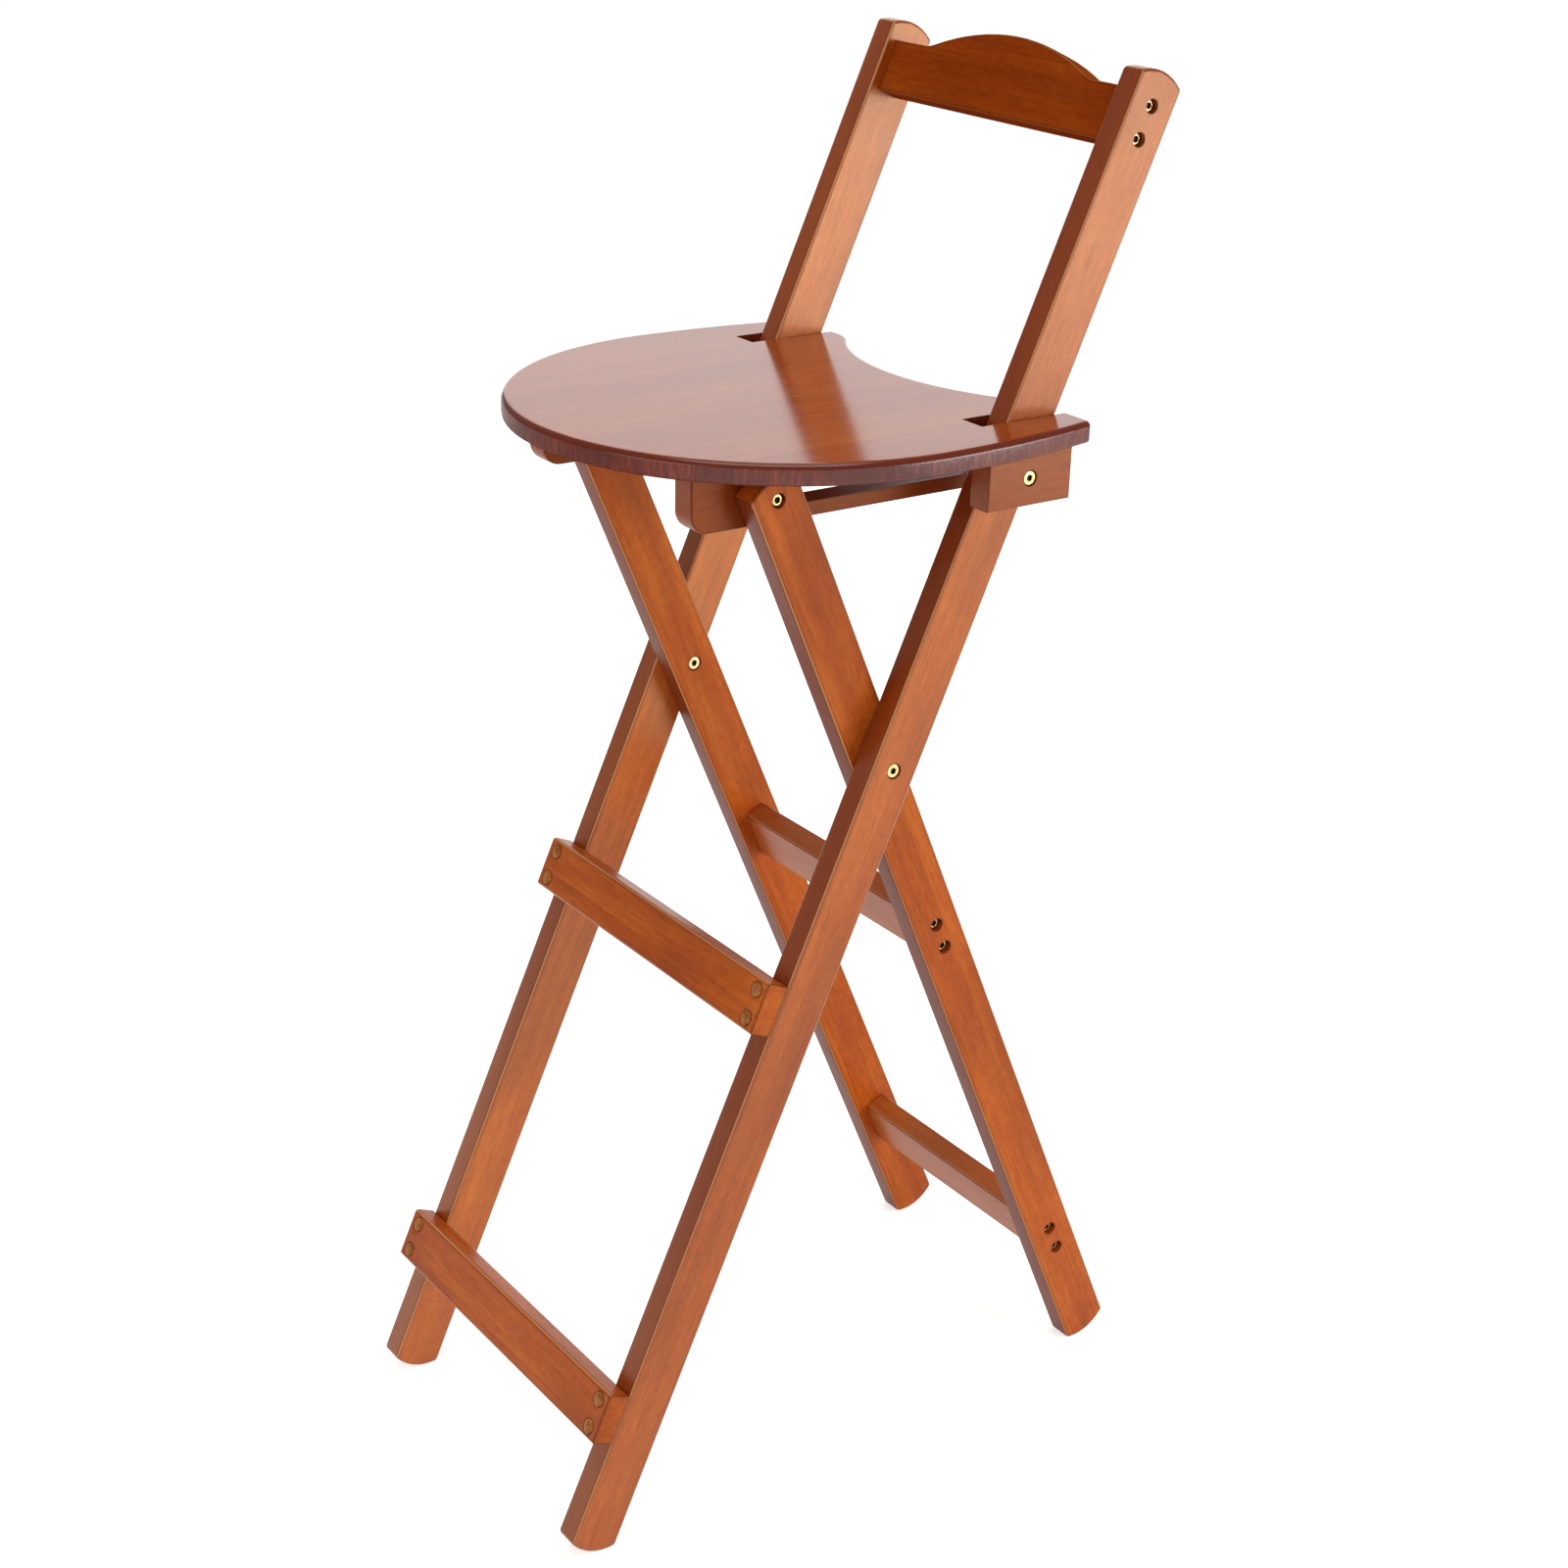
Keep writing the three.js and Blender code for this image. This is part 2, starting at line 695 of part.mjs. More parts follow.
const crossBoltFace = stileOuter - boltHeadSunk;
const seatBoltFace = blockOuter - boltHeadSunk;
const crossBolt = bolt(crossBoltFace, boltTip(legInner));
const seatBolt = bolt(seatBoltFace, boltTip(stileInner));
const railScrewTip = railEnd - screwBite;
const crestScrewTip = stileInner - seam - screwBite;
const dowelScrew = screw(legOuter - dowelScrewSunk, railScrewTip);
const stretcherScrew = screw(legOuter - screwHeadSunk, railScrewTip);
const crestScrew = screw(stileOuter - screwHeadSunk, crestScrewTip);
addPair('cross_bolt', stand(crossBolt, 0), brassColour, 1);
addPair('cross_nut', stand(sleeveNut(legInner), 0), brassColour, 1);
addPair('cross_washer', stand(washer(legOuter), 0), washerColour, 0);
addPair('seat_bolt', standTurned(seatBolt, armReach, stileTurn), brassColour, 1);
addPair('seat_nut', standTurned(sleeveNut(stileInner), armReach, stileTurn), brassColour, 1);
addPair('seat_washer', standTurned(washer(stileOuter), armReach, stileTurn), washerColour, 0);
addPair('dowel_screw', standTurned(dowelScrew, armReach, legTurn), brassColour, 1);

crestScrewReaches.forEach((reach, i) => {
  const geometry = standTurned(crestScrew.clone(), reach, stileTurn);
  addPair(`crest_screw_${i + 1}`, geometry, brassColour, 1);
});
stretcherScrewReaches.forEach((reach, i) => {
  const geometry = standTurned(stretcherScrew.clone(), reach, legTurn);
  addPair(`stretcher_screw_${i + 1}`, geometry, brassColour, 1);
});

export default group;
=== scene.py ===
import math
from types import SimpleNamespace
import bpy
import bmesh
from mathutils import Matrix, Vector


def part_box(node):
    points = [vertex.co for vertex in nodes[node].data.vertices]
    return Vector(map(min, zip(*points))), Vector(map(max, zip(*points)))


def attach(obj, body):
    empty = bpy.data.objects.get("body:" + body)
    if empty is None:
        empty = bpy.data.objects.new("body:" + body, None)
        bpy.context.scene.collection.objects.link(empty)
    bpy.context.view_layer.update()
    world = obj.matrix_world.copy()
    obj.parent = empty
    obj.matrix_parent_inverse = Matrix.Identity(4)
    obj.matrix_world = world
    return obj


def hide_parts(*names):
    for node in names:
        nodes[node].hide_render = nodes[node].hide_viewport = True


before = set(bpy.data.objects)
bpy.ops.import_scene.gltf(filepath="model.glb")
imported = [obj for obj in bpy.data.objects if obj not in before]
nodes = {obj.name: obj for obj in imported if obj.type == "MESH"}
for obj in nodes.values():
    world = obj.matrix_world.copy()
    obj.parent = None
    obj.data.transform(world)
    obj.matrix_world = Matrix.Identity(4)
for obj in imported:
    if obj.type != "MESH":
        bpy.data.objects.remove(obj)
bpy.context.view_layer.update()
MM = 0.001

# Sizes of the object, in millimetres, in the frame of the solids
LEAN = math.radians(66.3)
SEAT_PIVOT_Y = 83.8061
SEAT_TOP = 753.7354
SEAT_THICKNESS = 13.5
STILE_UP = Vector((0, math.cos(LEAN), math.sin(LEAN)))
STILE_FRONT = Vector((0, -math.sin(LEAN), math.cos(LEAN)))
SIDES = (("left", 1), ("right", -1))
LEVELS = ("upper", "lower")

# Camera, from a fit to the long members' edges: place in metres, lens and sensor in millimetres
CAMERA_PLACE = (1.40495, -0.99457, 1.19405)
CAMERA_TURN = math.radians(54.417)
CAMERA_DROP = math.radians(22.764)
CAMERA_ROLL = math.radians(1.643)
CAMERA_LENS = 61.23
CAMERA_SENSOR = 36


def make_camera():
    level = math.cos(CAMERA_DROP)
    ahead = Vector((-math.sin(CAMERA_TURN) * level, math.cos(CAMERA_TURN) * level, -math.sin(CAMERA_DROP)))
    sideways = ahead.cross(Vector((0, 0, 1))).normalized()
    above = sideways.cross(ahead)
    right = sideways * math.cos(CAMERA_ROLL) + above * math.sin(CAMERA_ROLL)
    top = above * math.cos(CAMERA_ROLL) - sideways * math.sin(CAMERA_ROLL)
    data = bpy.data.cameras.new("camera")
    data.sensor_width = CAMERA_SENSOR
    data.lens = CAMERA_LENS
    data.clip_start = 0.05
    data.clip_end = 60
    camera = bpy.data.objects.new("camera", data)
    bpy.context.scene.collection.objects.link(camera)
    basis = Matrix((right, top, -ahead)).transposed().to_4x4()
    camera.matrix_world = Matrix.Translation(CAMERA_PLACE) @ basis
    bpy.context.scene.camera = camera


make_camera()


# Node helpers
class Net:
    """A material and short ways to add nodes to it."""

    def __init__(self, name):
        self.material = bpy.data.materials.new(name)
        self.material.use_nodes = True
        self.tree = self.material.node_tree
        self.tree.nodes.clear()

    def node(self, kind, **values):
        made = self.tree.nodes.new(kind)
        for key, value in values.items():
            setattr(made, key, value)
        return made

    def link(self, source, target):
        self.tree.links.new(source, target)

    def feed(self, socket, value):
        """Links a socket, or sets a plain value."""
        if isinstance(value, bpy.types.NodeSocket):
            self.link(value, socket)
        else:
            socket.default_value = value

    def math(self, operation, a, b=0.0):
        made = self.node("ShaderNodeMath", operation=operation)
        self.feed(made.inputs[0], a)
        self.feed(made.inputs[1], b)
        return made.outputs[0]

    def plus(self, a, b):
        return self.math("ADD", a, b)

    def times(self, a, b):
        return self.math("MULTIPLY", a, b)

    def absolute(self, a):
        return self.math("ABSOLUTE", a)

    def off_middle(self, a):
        """Distance of a value from the middle between the two whole numbers around it."""
        return self.absolute(self.math("SUBTRACT", self.math("FRACT", a), 0.5))

    def vector_math(self, operation, a, b):
        made = self.node("ShaderNodeVectorMath", operation=operation)
        self.link(a, made.inputs[0])
        self.link(b, made.inputs[1])
        return made

    def parts(self, vector):
        made = self.node("ShaderNodeSeparateXYZ")
        self.link(vector, made.inputs[0])
        return made.outputs

    def mix(self, factor, a, b):
        made = self.node("ShaderNodeMix", data_type="RGBA")
        self.feed(made.inputs["Factor"], factor)
        self.feed(made.inputs[6], a)
        self.feed(made.inputs[7], b)
        return made.outputs[2]

    def tint(self, body, mask, amount, colour):
        """Moves the body colour toward another one where the mask is high."""
        return self.mix(self.times(mask, amount), body, colour)

    def ramp(self, factor, *stops):
        made = self.node("ShaderNodeValToRGB")
        elements = made.color_ramp.elements
        while len(elements) < len(stops):
            elements.new(0.5)
        for element, (place, colour) in zip(elements, stops):
            element.position = place
            element.color = colour
        self.feed(made.inputs[0], factor)
        return made.outputs[0]

    def span(self, value, low, high, to_low=0.0, to_high=1.0):
        """Maps low to high onto another range and keeps to that range."""
        made = self.node("ShaderNodeMapRange", clamp=True)
        for socket, given in zip(made.inputs, (value, low, high, to_low, to_high)):
            self.feed(socket, given)
        return made.outputs[0]

    def noise(self, vector, scale, detail=2.0, rough=0.5):
        made = self.node("ShaderNodeTexNoise")
        self.feed(made.inputs["Vector"], vector)
        made.inputs["Scale"].default_value = scale
        made.inputs["Detail"].default_value = detail
        made.inputs["Roughness"].default_value = rough
        return made.outputs[0]

    def mapping(self, vector, location=(0, 0, 0), rotation=(0, 0, 0), scale=(1, 1, 1), kind="POINT"):
        made = self.node("ShaderNodeMapping", vector_type=kind)
        self.feed(made.inputs["Vector"], vector)
        if kind == "POINT":
            made.inputs["Location"].default_value = location
        made.inputs["Rotation"].default_value = rotation
        made.inputs["Scale"].default_value = scale
        return made.outputs[0]

    def grained(self, vector, pattern):
        """Noise drawn out along the grain, which is Z."""
        stretch, scale, detail, rough = pattern
        return self.noise(self.mapping(vector, scale=(1, 1, stretch)), scale, detail, rough)

    def bump(self, height, strength, distance):
        made = self.node("ShaderNodeBump")
        made.inputs["Strength"].default_value = strength
        made.inputs["Distance"].default_value = distance
        self.link(height, made.inputs["Height"])
        return made.outputs[0]

    def principled(self, colour, roughness, constants):
        made = self.node("ShaderNodeBsdfPrincipled")
        self.link(colour, made.inputs["Base Color"])
        self.link(roughness, made.inputs["Roughness"])
        for name, value in constants.items():
            made.inputs[name].default_value = value
        return made

    def finish(self, shader):
        out = self.node("ShaderNodeOutputMaterial")
        self.link(shader, out.inputs["Surface"])
        return self.material


def srgb(*levels):
    """A colour written as 0 to 255, as a linear colour with alpha."""
    def linear(level):
        share = level / 255
        return share / 12.92 if share <= 0.04045 else ((share + 0.055) / 1.055) ** 2.4
    return (*(linear(level) for level in levels), 1)


# Colours of the stained wood
AMBER = srgb(224, 118, 32)
MID = srgb(198, 90, 18)
DEEP = srgb(160, 62, 10)
DARK = srgb(90, 26, 6)
PALE_FIBRE = srgb(228, 140, 66)
SOAKED = srgb(124, 42, 14)
NODE_GLOW = srgb(210, 118, 40)
NARROW_FACE = srgb(120, 44, 14)
BESIDE_EDGE = srgb(86, 28, 10)
# Paler colour for the middle of rounded edges: partly wear, partly a painted highlight standing in for the
# lamps' reflection
EDGE_WEAR_AND_HIGHLIGHT = srgb(226, 158, 104)
DARKER_TONE = srgb(96, 30, 10)
PALER_TONE = srgb(214, 134, 60)
VARNISH_TINT = srgb(255, 226, 186)
RIM_ROUNDING = srgb(94, 28, 12)
RIM_STREAKS = ((0.34, srgb(88, 22, 9)), (0.50, srgb(112, 36, 16)), (0.66, srgb(138, 58, 34)))
RIM_SHADE = srgb(72, 16, 8)

# Noises of the wood: stretch along the grain, scale, detail and roughness
FINE = (0.03, 1000, 3.0, 0.6)
FIBRE = (0.05, 300, 3.0, 0.55)
BAND = (0.10, 60, 2.0, 0.5)
CLOUD = (0.35, 12, 3.0, 0.55)
BLOTCH = (0.5, 240, 3.0, 0.65)
SPECK = (0.4, 1500, 1.0, 0.5)
STAIN = (0.4, 15, 2.0, 0.5)

# Lengths in the wood, in metres; a strip's grain starts up to GRAIN_SLIDE further along
STRIP = 0.0185
GLUE_LINE = 0.0005
GRAIN_SLIDE = 3.0
EDGE_REACH = 0.0018

# Nodes of the cane: metres between them, and how many spacings a strip may be shifted by
NODE_SPACING = 0.33
NODE_SHIFT = 7.3

# Turns that lay the grain of a piece along Z
TO_STILE = (math.pi / 2 - LEAN, 0, 0)
TO_LEG = (LEAN - math.pi / 2, 0, 0)
TO_CROSS = (0, -math.pi / 2, 0)
TO_DEPTH = (math.pi / 2, 0, 0)
TO_CROSS_STILE = (math.pi / 2 - LEAN, -math.pi / 2, 0)


# Wood
def grain_space(net, rotation, shift, strip, across):
    """Places and directions in a piece whose glued strips lie side by side along one cross axis."""
    coordinates = net.node("ShaderNodeTexCoord")
    turned = net.mapping(coordinates.outputs["Object"], rotation=rotation)
    placed = net.mapping(turned, location=shift)
    normal = net.mapping(coordinates.outputs["Normal"], rotation=rotation, kind="VECTOR")
    parts = net.parts(placed)
    strips = net.math("DIVIDE", parts[across], strip)
    random = net.node("ShaderNodeTexWhiteNoise", noise_dimensions="1D")
    net.link(net.math("FLOOR", strips), random.inputs["W"])
    chance = random.outputs["Value"]
    slide = net.node("ShaderNodeCombineXYZ")
    net.link(chance, slide.inputs[0])
    net.link(net.times(chance, GRAIN_SLIDE), slide.inputs[2])
    grain = net.vector_math("ADD", placed, slide.outputs[0]).outputs[0]
    return SimpleNamespace(placed=placed, grain=grain, along=parts[2], strips=strips, strip=strip,
                           chance=chance, facing=net.parts(normal))


def figure_colour(net, space, figure):
    """Colour of the grain, and the noises in it that the relief and the shine use too."""
    cloud = net.times(net.grained(space.placed, CLOUD), 0.44)
    band = net.times(net.grained(space.grain, BAND), 0.32)
    blotch = net.times(net.grained(space.placed, BLOTCH), 0.24)
    mixed = net.plus(net.plus(cloud, band), blotch)
    body = net.ramp(mixed, (0.33, DEEP), (0.49, MID), (0.65, AMBER))
    body = net.mix(net.span(space.chance, 0.0, 1.0, 0.0, 0.22), body, DEEP)
    fibre = net.grained(space.grain, FIBRE)
    fine = net.grained(space.grain, FINE)
    thin = net.span(fine, 0.50, 0.72)
    body = net.tint(body, net.span(fibre, 0.38, 0.66), 0.13 * figure, DARK)
    body = net.tint(body, thin, 0.32 * figure, DARK)
    body = net.tint(body, net.span(fine, 0.42, 0.26), 0.22 * figure, PALE_FIBRE)
    pores = net.span(net.grained(space.placed, SPECK), 0.62, 0.76)
    body = net.tint(body, pores, 0.22 * figure, DARK)
    return body, SimpleNamespace(fibre=fibre, fine=fine, thin=thin)


def stain_patches(net, space, body):
    """Stain rubbed in unevenly: some stretches are redder and darker."""
    soaked = net.span(net.grained(space.placed, STAIN), 0.50, 0.68, 0.0, 0.42)
    return net.mix(soaked, body, SOAKED)


def strip_joints(net, space, body):
    """Faint lines of glue between the strips."""
    line = net.span(net.off_middle(space.strips), 0.5 - GLUE_LINE / space.strip, 0.5)
    return net.tint(body, line, 0.20, DARK)


def growth_nodes(net, space, body, strength):
    """Nodes of the cane, one here and there on a strip, each a fine line in a paler zone."""
    place = net.plus(net.math("DIVIDE", space.along, NODE_SPACING), net.times(space.chance, NODE_SHIFT))
    wave = net.times(net.math("SUBTRACT", net.noise(space.grain, 160), 0.5), 0.02)
    distance = net.plus(net.off_middle(place), wave)
    body = net.tint(body, net.span(distance, 0.03, 0.004), 0.10 * strength, NODE_GLOW)
    return net.tint(body, net.span(distance, 0.0045, 0.0015), 0.14 * strength, DARK)


def narrow_faces(net, space, body, amount):
    """The narrow faces, which cross the strips, took more stain."""
    narrow = net.span(net.absolute(space.facing[1]), 0.75, 0.95)
    return net.tint(body, narrow, amount, NARROW_FACE)


def edge_wear_and_highlight(net, space, body):
    """Stain gathers beside the rounded edges. The middle of each rounding is painted paler, partly as wear
    and partly as a painted highlight in place of the lamps' reflection on the arris.
    """
    rounded = net.node("ShaderNodeBevel", samples=4)
    rounded.inputs["Radius"].default_value = EDGE_REACH
    flat = net.node("ShaderNodeNewGeometry").outputs["Normal"]
    turned = net.vector_math("DOT_PRODUCT", rounded.outputs[0], flat).outputs["Value"]
    body = net.tint(body, net.span(turned, 0.9995, 0.985), 0.70, BESIDE_EDGE)
    ridge = net.absolute(net.times(space.facing[0], space.facing[1]))
    # Painted highlight and wear: the middle of each rounded edge is mixed toward a pale colour
    return net.tint(body, net.span(ridge, 0.34, 0.48), 0.70, EDGE_WEAR_AND_HIGHLIGHT)


def toned(net, body, tone):
    """A tone above zero darkens the piece, one below zero makes it paler."""
    return net.mix(abs(tone), body, DARKER_TONE if tone > 0 else PALER_TONE)


def varnished(net, space, body, fibres, rough, gloss):
    """Clear lacquer over the wood, with the grain in its relief and its shine."""
    shine = net.plus(net.times(net.noise(space.placed, 35, 3.0), 0.10), rough - 0.05)
    shine = net.plus(shine, net.times(fibres.thin, 0.05))
    height = net.plus(net.times(fibres.fine, 0.5), net.times(fibres.fibre, 0.35))
    height = net.plus(height, net.times(net.noise(space.placed, 60), 0.5))
    shader = net.principled(body, shine, {
        "IOR": 1.5, "Specular IOR Level": gloss, "Specular Tint": VARNISH_TINT})
    net.link(net.bump(height, strength=0.2, distance=0.0002), shader.inputs["Normal"])
    return shader


def frame_wood(name, rotation, shift, tone, strip=STRIP, across=0, rough=0.40, gloss=0.3, narrow=0.0):
    net = Net(name)
    space = grain_space(net, rotation, shift, strip, across)
    body, fibres = figure_colour(net, space, 1.0)
    body = stain_patches(net, space, body)
    body = strip_joints(net, space, body)
    body = growth_nodes(net, space, body, 1.0)
    if narrow:
        body = narrow_faces(net, space, body, narrow)
    body = edge_wear_and_highlight(net, space, body)
    body = toned(net, body, tone)
    shader = varnished(net, space, body, fibres, rough, gloss)
    return net.finish(shader.outputs[0])


def rim_colour(net, space, body):
    """End grain of the seat's edge: short upright streaks between a dark rounding and an underside darkened
    with painted shade.
    """
    cover = 0.9
    level = net.absolute(space.facing[1])
    body = net.tint(body, net.span(level, 0.985, 0.90), cover, RIM_ROUNDING)
    streak = net.noise(net.mapping(space.placed, scale=(1, 0.12, 1)), 520, 3.0, 0.7)
    shade = net.span(net.noise(space.placed, 24), 0.44, 0.62, 0.0, 0.6)
    end_grain = net.mix(shade, net.ramp(streak, *RIM_STREAKS), RIM_SHADE)
    upright = net.span(level, 0.45, 0.2)
    body = net.tint(body, upright, cover, end_grain)
    # Painted shade: faces that point down are darkened toward DARK
    underside_shade = net.span(space.facing[1], 0.4, 0.8, 0.0, 0.6)
    return net.mix(underside_shade, body, DARK), streak, upright


def glossy_coat(net, space, shader, streak, upright):
    """Full lacquer on the seat's top and left edge, less round the rest of its edge and none below."""
    upper = net.span(space.facing[1], -0.9, 0.6, 1.0, 0.0)
    flank = net.span(space.facing[0], 0.45, 0.95, 0.0, 0.6)
    net.link(net.plus(upper, net.times(flank, upright)), shader.inputs["Coat Weight"])
    shader.inputs["Coat Roughness"].default_value = 0.13
    shader.inputs["Coat IOR"].default_value = 1.6
    ripple = net.bump(net.times(streak, upright), strength=0.6, distance=0.0004)
    net.link(ripple, shader.inputs["Coat Normal"])


def board_wood():
    net = Net("seat_wood")
    space = grain_space(net, TO_DEPTH, (0.0065, 0, 0), strip=0.0225, across=0)
    body, fibres = figure_colour(net, space, 0.55)
    body = strip_joints(net, space, body)
    body = growth_nodes(net, space, body, 0.5)
    body = toned(net, body, 0.48)
    body, streak, upright = rim_colour(net, space, body)
    shader = varnished(net, space, body, fibres, rough=0.35, gloss=0.0)
    glossy_coat(net, space, shader, streak, upright)
    return net.finish(shader.outputs[0])


seat_wood = board_wood()


# Metal and plastic
def brass():
    """Pale satin brass, with painted shade inside the sockets."""
    net = Net("pale_brass")
    where = net.node("ShaderNodeTexCoord").outputs["Object"]
    cloud = net.noise(where, 320)
    stops = ((0.3, srgb(206, 176, 116)), (0.55, srgb(226, 200, 142)), (0.8, srgb(238, 218, 170)))
    colour = net.ramp(cloud, *stops)
    socket_shade = net.node("ShaderNodeAttribute", attribute_name="socket_shade").outputs["Fac"]
    # Painted shade: the marked socket points are mixed to near black-brown
    colour = net.mix(net.span(socket_shade, 0.05, 0.6), colour, srgb(30, 20, 10))
    scratch = net.noise(net.mapping(where, scale=(1, 0.2, 0.2)), 2600)
    shader = net.principled(colour, net.plus(net.times(scratch, 0.18), 0.20), {"Metallic": 1.0})
    net.link(net.bump(cloud, strength=0.08, distance=0.00004), shader.inputs["Normal"])
    return net.finish(shader.outputs[0])


def plastic():
    """Matte off-white nylon."""
    net = Net("washer_plastic")
    where = net.node("ShaderNodeTexCoord").outputs["Object"]
    cloud = net.noise(where, 400)
    colour = net.ramp(cloud, (0.3, srgb(196, 188, 172)), (0.7, srgb(222, 216, 202)))
    shader = net.principled(colour, net.plus(net.times(cloud, 0.1), 0.45), {})
    return net.finish(shader.outputs[0])


metal = brass()
nylon = plastic()


# Smooth shading
WELD_DISTANCE = 0.000005
SHARP_ANGLE = math.radians(50)
SOLID_WEIGHT = 80
FINE_WEIGHT = 60


def shading_group():
    """Joins the split corners and shades small angles smooth, with the corners kept sharp."""
    group = bpy.data.node_groups.new("soft_shading", "GeometryNodeTree")
    group.interface.new_socket("Geometry", in_out="INPUT", socket_type="NodeSocketGeometry")
    group.interface.new_socket("Geometry", in_out="OUTPUT", socket_type="NodeSocketGeometry")
    first = group.nodes.new("NodeGroupInput")
    last = group.nodes.new("NodeGroupOutput")
    weld = group.nodes.new("GeometryNodeMergeByDistance")
    weld.inputs["Distance"].default_value = WELD_DISTANCE
    faces = group.nodes.new("GeometryNodeSetShadeSmooth")
    faces.domain = "FACE"
    edges = group.nodes.new("GeometryNodeSetShadeSmooth")
    edges.domain = "EDGE"
    angle = group.nodes.new("GeometryNodeInputMeshEdgeAngle")
    less = group.nodes.new("FunctionNodeCompare")
    less.data_type = "FLOAT"
    less.operation = "LESS_THAN"
    less.inputs[1].default_value = SHARP_ANGLE
    group.links.new(first.outputs[0], weld.inputs["Geometry"])
    group.links.new(weld.outputs[0], faces.inputs["Geometry"])
    group.links.new(faces.outputs[0], edges.inputs["Geometry"])
    group.links.new(angle.outputs["Unsigned Angle"], less.inputs[0])
    group.links.new(less.outputs[0], edges.inputs["Shade Smooth"])
    group.links.new(edges.outputs[0], last.inputs[0])
    return group


soft = shading_group()


def soften(piece, weight):
    """Smooth shading that leans toward the normals of the large faces."""
    piece.modifiers.new("soft_shading", "NODES").node_group = soft
    weigh = piece.modifiers.new("weighted", "WEIGHTED_NORMAL")
    weigh.keep_sharp = True
    weigh.weight = weight


# Materials of the solids
def dress(name, material):
    piece = nodes[name]
    piece.data.materials.clear()
    piece.data.materials.append(material)
    soften(piece, SOLID_WEIGHT)


def dress_wood(name, rotation, shift, **look):
    """Gives a piece wood of its own, shifted so that no two pieces have the same figure."""
    dress(name, frame_wood(name, rotation, shift, **look))


def dress_side(i, side):
    # The far side (i = 1) gets a paler tone for its stile and leg: painted light, standing in for the
    # brighter light on their inner faces
    dress_wood(f"stile_{side}", TO_STILE, (0.31 * i, 0.006, 0.13 + 0.4 * i), tone=0.18 - 0.20 * i,
               across=1, rough=0.30, gloss=0.75 + 0.25 * i, narrow=0.72)
    dress_wood(f"leg_{side}", TO_LEG, (1.2 + 0.37 * i, 0.003, 0.72 + 0.3 * i), tone=0.10 - 0.12 * i,
               across=1, narrow=1.0)
    dress_wood(f"slotted_cleat_{side}", TO_DEPTH, (2.1 + i, 0.004, 0.3), tone=0.6,
               strip=0.021, across=1, rough=0.36)
    dress_wood(f"pivot_block_{side}", TO_DEPTH, (3.3 + i, 0.009, 0.9), tone=0.56,
               strip=0.021, across=1, rough=0.34, gloss=0.5)


def dress_rails():
    for i, level in enumerate(LEVELS):
        dress_wood(f"footrest_{level}", TO_CROSS_STILE, (0.5 + i, 0.013, 0.4 + i), tone=0.14,
                   strip=0.0195, rough=0.30)
        dress_wood(f"stretcher_{level}", TO_CROSS, (0.9 + i, 0.010, 0.2 + i), tone=0.2,
                   strip=0.0205, rough=0.30)
    dress_wood("crest_rail", TO_CROSS_STILE, (0.21, 0.002, 0.66), tone=0.62, strip=0.0285, gloss=0.0)
    dress_wood("slot_dowel", TO_CROSS, (4.4, 0.0, 0.1), tone=0.1, strip=0.05)


for i, (side, _) in enumerate(SIDES):
    dress_side(i, side)
dress_rails()
for side, _ in SIDES:
    for kind in ("cross", "seat"):
        dress(f"{kind}_washer_{side}", nylon)


# Finer meshes
RING_POINTS = 48
RING_ANGLES = [2 * math.pi * i / RING_POINTS for i in range(RING_POINTS)]
CLOSED = 0.05


def add_piece(name, mesh, material, body, slot, *replaced):
    """Puts a finer mesh in the place of the solids that it replaces."""
    piece = bpy.data.objects.new(name, mesh)
    bpy.context.scene.collection.objects.link(piece)
    mesh.materials.append(material)
    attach(piece, body)
    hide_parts(*replaced)
    soften(piece, FINE_WEIGHT)


def centre_of(name):
    low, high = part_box(name)
    return (low + high) / 2


def rings_to_mesh(name, rings):
    """Closed skin over rings of points; each ring has as many points as the next."""
    mesh = bpy.data.meshes.new(name)
    bm = bmesh.new()
    made = [[bm.verts.new(point) for point in ring] for ring in rings]
    count = len(rings[0])
    for a, b in zip(made, made[1:]):
        for i in range(count):
            j = (i + 1) % count
            bm.faces.new((a[i], a[j], b[j], b[i]))
    bm.faces.new(list(reversed(made[0])))
    bm.faces.new(made[-1])
    bmesh.ops.recalc_face_normals(bm, faces=bm.faces)
    for face in bm.faces:
        face.smooth = True
    bm.to_mesh(mesh)
    bm.free()
    return mesh


def in_metres(rings):
    return [[(x * MM, y * MM, z * MM) for x, y, z in ring] for ring in rings]


def circle(radius, height):
    return [(radius * math.cos(a), radius * math.sin(a), height) for a in RING_ANGLES]


def evenly(first, last, steps):
    return [first + (last - first) * i / steps for i in range(steps + 1)]


# Fasteners: head, neck and bore are radii
SOCKET_TURN = 0.3
SOCKET_FLATS = 4.0
SOCKET_MOUTH = 4.35
SOCKET_DEPTH = 1.5
SOCKET_RINGS = 3
HEAD_ROUNDING = 0.75
BOLT = SimpleNamespace(head=4.9, head_height=2.5, neck=3.0, length=32.3, sunk=0.9, bore=None)
NUT = SimpleNamespace(head=4.9, head_height=2.8, neck=4.0, length=10.5, sunk=0.5, bore=3.08, bore_depth=6.5)
DOWEL_SCREW = SimpleNamespace(head=4.0, head_height=3.5, neck=2.5, length=42.8, sunk=1.9, bore=None)
RAIL_SCREW = SimpleNamespace(head=4.0, head_height=3.5, neck=2.5, length=41.3, sunk=3.4, bore=None)


def hexagon(flats, height):
    """A ring on a hexagon of that width across its flats."""
    sector = math.pi / 3
    half_sector = math.pi / 6
    ring = []
    for angle in RING_ANGLES:
        off_flat = (angle + SOCKET_TURN + half_sector) % sector - half_sector
        radius = flats / 2 / math.cos(off_flat)
        ring.append((radius * math.cos(angle), radius * math.sin(angle), height))
    return ring


